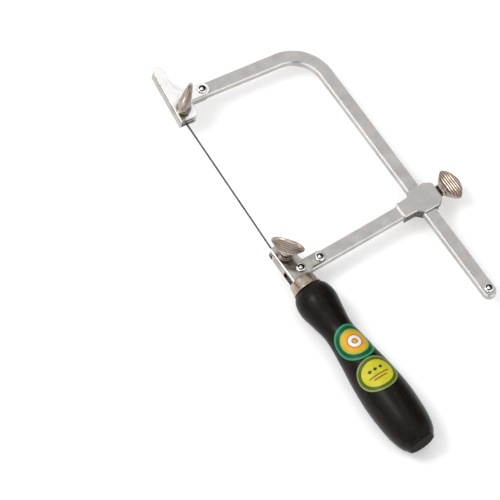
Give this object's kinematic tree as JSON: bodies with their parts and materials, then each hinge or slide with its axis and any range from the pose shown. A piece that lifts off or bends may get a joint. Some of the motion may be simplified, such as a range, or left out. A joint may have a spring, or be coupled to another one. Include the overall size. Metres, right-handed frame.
{
  "type": "jeweler saw frame",
  "caption": "Adjustable jeweler's saw frame: a turned handle carries an arm and slide block on a bent back bar, with thumb-screw clamps holding a thin blade.",
  "frame": {"origin": "under the middle of the bounding box, on the plane the saw lies on when its handle's widest part touches it", "axes": "+Y along the handle's axis from butt to ferrule and along the back bar, +X from the blade towards the back bar, +Z square to the flat frame, on the side of the blade-clamp thumb screws"},
  "size_m": [0.1244, 0.265, 0.0354],
  "materials": {
    "satin_steel": "satin nickel-plated bar stock with bright chamfers",
    "bright_nickel": "bright nickel-plated folded sheet",
    "warm_nickel": "warm champagne nickel plating over brass",
    "rivet_steel": "polished rivet heads",
    "blade_steel": "hardened dark steel",
    "shoe_brass": "turned bare brass",
    "black_lacquer": "turned hardwood under glossy black lacquer",
    "green_label": null,
    "olive_label": null
  },
  "bodies": {
    "handle_side": {"handle": "black_lacquer", "ferrule": "warm_nickel", "lower_arm": "satin_steel", "slide_block": "satin_steel", "lower_jaw_bracket": "bright_nickel", "lower_jaw_rivet_inner": "rivet_steel", "lower_jaw_rivet_outer": "rivet_steel", "lower_screw_bush": "warm_nickel", "round_label": "green_label", "oval_label": "olive_label"},
    "frame_bar": {"back_bar": "satin_steel", "bar_stop_rivet": "rivet_steel", "upper_jaw_bracket": "bright_nickel", "upper_jaw_rivet": "rivet_steel", "upper_screw_bush": "warm_nickel", "saw_blade": "blade_steel"},
    "upper_plate": {"upper_clamp_plate": "satin_steel"},
    "upper_screw": {"upper_thumb_screw": "warm_nickel"},
    "lower_plate": {"lower_clamp_plate": "satin_steel"},
    "lower_screw": {"lower_thumb_screw": "warm_nickel"},
    "slide_shoe": {"slide_pressure_shoe": "shoe_brass"},
    "slide_screw": {"slide_thumb_screw": "warm_nickel"}
  },
  "joints": [
    {"name": "bar_slide", "type": "slide", "parent": "handle_side", "child": "frame_bar", "axis": [0, 1, 0], "range_m": [0, 0.0527]},
    {"name": "upper_plate_lift", "type": "slide", "parent": "frame_bar", "child": "upper_plate", "axis": [0, 0, 1], "range_m": [0, 0.0021]},
    {"name": "upper_screw_turn", "type": "hinge", "parent": "upper_plate", "child": "upper_screw", "pos_m": [-0.0453, 0.10354, 0.01733], "axis": [0, 0, 1], "range_deg": [0, 1080]},
    {"name": "lower_plate_lift", "type": "slide", "parent": "handle_side", "child": "lower_plate", "axis": [0, 0, 1], "range_m": [0, 0.0021]},
    {"name": "lower_screw_turn", "type": "hinge", "parent": "lower_plate", "child": "lower_screw", "pos_m": [-0.04854, -0.00066, 0.01733], "axis": [0, 0, 1], "range_deg": [0, 1080]},
    {"name": "slide_shoe_travel", "type": "slide", "parent": "handle_side", "child": "slide_shoe", "axis": [1, 0, 0], "range_m": [0, 0.0014]},
    {"name": "slide_screw_turn", "type": "hinge", "parent": "slide_shoe", "child": "slide_screw", "pos_m": [0.04696, -0.01166, 0.01363], "axis": [1, 0, 0], "range_deg": [0, 720]}
  ],
  "couplings": [
    {"joint": "upper_plate_lift", "follows": "upper_screw_turn", "m_per_rad": 0.0001114},
    {"joint": "lower_plate_lift", "follows": "lower_screw_turn", "m_per_rad": 0.0001114},
    {"joint": "slide_shoe_travel", "follows": "slide_screw_turn", "m_per_rad": 0.0001114}
  ]
}
